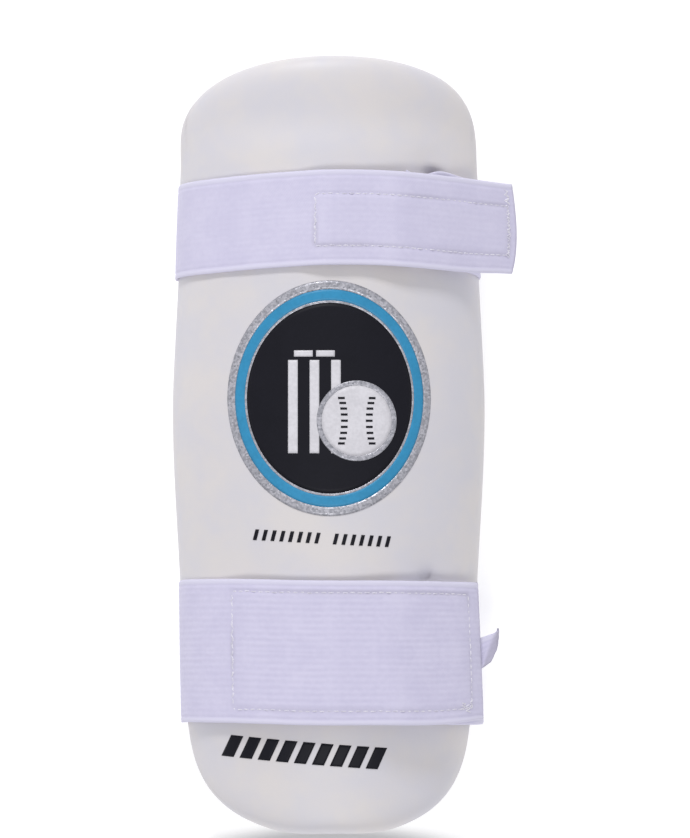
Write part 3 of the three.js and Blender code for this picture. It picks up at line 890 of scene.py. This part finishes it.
def oval_film(name, outer, inner, middle, around, rings):
    """A flat ring between two ovals about one middle, or a disc where the inner one is nothing."""
    bpy.ops.mesh.primitive_grid_add(x_subdivisions=around, y_subdivisions=rings, size=1)
    film = bpy.context.object
    film.name = name
    for corner in film.data.vertices:
        angle = 2 * math.pi * (corner.co.x + 0.5)
        reach = inner.lerp(outer, corner.co.y + 0.5)
        x, y = reach.x * math.cos(angle), reach.y * math.sin(angle)
        corner.co = Vector((middle.x + x, middle.y + y, 0))
    bpy.ops.object.mode_set(mode="EDIT")
    bpy.ops.mesh.select_all(action="SELECT")
    bpy.ops.mesh.remove_doubles(threshold=0.001 * mm)
    bpy.ops.object.mode_set(mode="OBJECT")
    return film


def bar_film(name, middle, width, height, slant):
    """A flat bar, its upper end pushed over by a slant."""
    bpy.ops.mesh.primitive_grid_add(x_subdivisions=5, y_subdivisions=max(round(height / mm), 3), size=1)
    film = bpy.context.object
    film.name = name
    for corner in film.data.vertices:
        x, y = corner.co.x * width, corner.co.y * height
        corner.co = Vector((middle.x + x + y * slant, middle.y + y, 0))
    return film


def join(pieces):
    """Joins flat films that one material covers, with the first one active."""
    for piece in pieces:
        piece.select_set(True)
    bpy.context.view_layer.objects.active = pieces[0]
    if len(pieces) > 1:
        bpy.ops.object.join()
    return bpy.context.object


def press(film, height, material):
    """Presses a flat film straight down onto the skin, its face at a height over it."""
    for corner in film.data.vertices:
        corner.co.z = crown_z + 20 * mm
    facing = sum(face.normal.z * face.area for face in film.data.polygons)
    if facing < 0:
        film.data.flip_normals()
    wrap = film.modifiers.new("pressed_on", "SHRINKWRAP")
    wrap.target = pad
    wrap.wrap_method = "PROJECT"
    wrap.use_project_z = True
    wrap.use_negative_direction = True
    wrap.use_positive_direction = False
    wrap.offset = height
    bpy.ops.object.modifier_apply(modifier=wrap.name)
    give_thickness(film, 0.1 * mm)
    hand_over(film, material)


# Each part's name, outer and inner share of the badge's size, rows of faces, height and film
for name, outer, inner, rows, height, film in (
    ("badge_rim", 1, 0.925, 3, 0.16 * mm, silver_film),
    ("badge_band", 0.925, 0.83, 4, 0.14 * mm, blue_film),
    ("badge_line", 0.83, 0.81, 2, 0.16 * mm, silver_film),
    ("badge_field", 0.81, 0, 20, 0.12 * mm, black_film),
):
    oval = oval_film(name, BADGE_HALF * outer, BADGE_HALF * inner, BADGE_MIDDLE, 120, rows)
    press(oval, height, film)

WICKET_X = BADGE_MIDDLE.x - 5.5 * mm
wicket = []
for i in (-1, 0, 1):
    middle = Vector((WICKET_X + i * 7.6 * mm, BADGE_MIDDLE.y - 3 * mm))
    wicket.append(bar_film("badge_wicket", middle, width=3.4 * mm, height=33 * mm, slant=0))
for i in (-0.5, 0.5):
    middle = Vector((WICKET_X + i * 7.8 * mm, BADGE_MIDDLE.y + 15.8 * mm))
    wicket.append(bar_film("badge_wicket", middle, width=6.6 * mm, height=2.2 * mm, slant=0))
press(join(wicket), 0.22 * mm, white_film)

# The ball, with a silver ring round it and two rows of seam marks that curve away from each other
BALL_MIDDLE = BADGE_MIDDLE + Vector((9.5 * mm, -8 * mm))
BALL_HALF = Vector((12.5 * mm, 12.5 * mm))
ring = oval_film("badge_ball_gap", BALL_HALF * 1.14, BALL_HALF, BALL_MIDDLE, 64, 3)
press(ring, 0.28 * mm, silver_film)
ball = oval_film("badge_ball", BALL_HALF, BALL_HALF * 0, BALL_MIDDLE, 64, 8)
press(ball, 0.3 * mm, white_film)
seam_marks = []
for i in range(-4, 5):
    for side in (-1, 1):
        angle = math.radians(10.5 * i)
        off = Vector((side * (8.6 - 4.2 * math.cos(angle)) * mm, 12 * mm * math.sin(angle)))
        mark = bar_film("badge_seam", BALL_MIDDLE + off, width=2.4 * mm, height=0.8 * mm, slant=0)
        seam_marks.append(mark)
press(join(seam_marks), 0.36 * mm, black_film)

# The marks below the badge
# Short slanted ticks, eight and then seven, printed in the same black film in one row that falls a little
# to the right.
TICK_PITCH = 3.1 * mm
TICK_GAP = 3.4 * mm


def printed_row(name, middle, turn, bars):
    """A row of slanted bars on one line: place along the row, width, height and slant of each."""
    films = [bar_film(name, Vector((x, 0)), width, height, slant) for x, width, height, slant in bars]
    row = join(films)
    row.data.transform(Matrix.Rotation(math.radians(turn), 4, "Z"))
    row.data.transform(Matrix.Translation((middle.x, middle.y, 0)))
    press(row, 0.15 * mm, black_film)


ticks = []
for i in range(15):
    x = i * TICK_PITCH + (TICK_GAP if i > 7 else 0) - 23.4 * mm
    ticks.append((x, 1.3 * mm, 3.8 * mm, 0.2))
printed_row("slogan_marks", Vector((middle_x - 3.7 * mm, -32.8 * mm)), -3, ticks)

# The bars at the lower end
# Nine bold slanted bars, printed in the same black film in one row that falls a little to the right.
# They lie across the pad below the lower strap.
BAR_PITCH = 6.4 * mm
bars = [((i - 4) * BAR_PITCH, 4.3 * mm, 7.8 * mm, 0.36) for i in range(9)]
printed_row("name_bars", Vector((middle_x - 9.8 * mm, -108.9 * mm)), -4.5, bars)
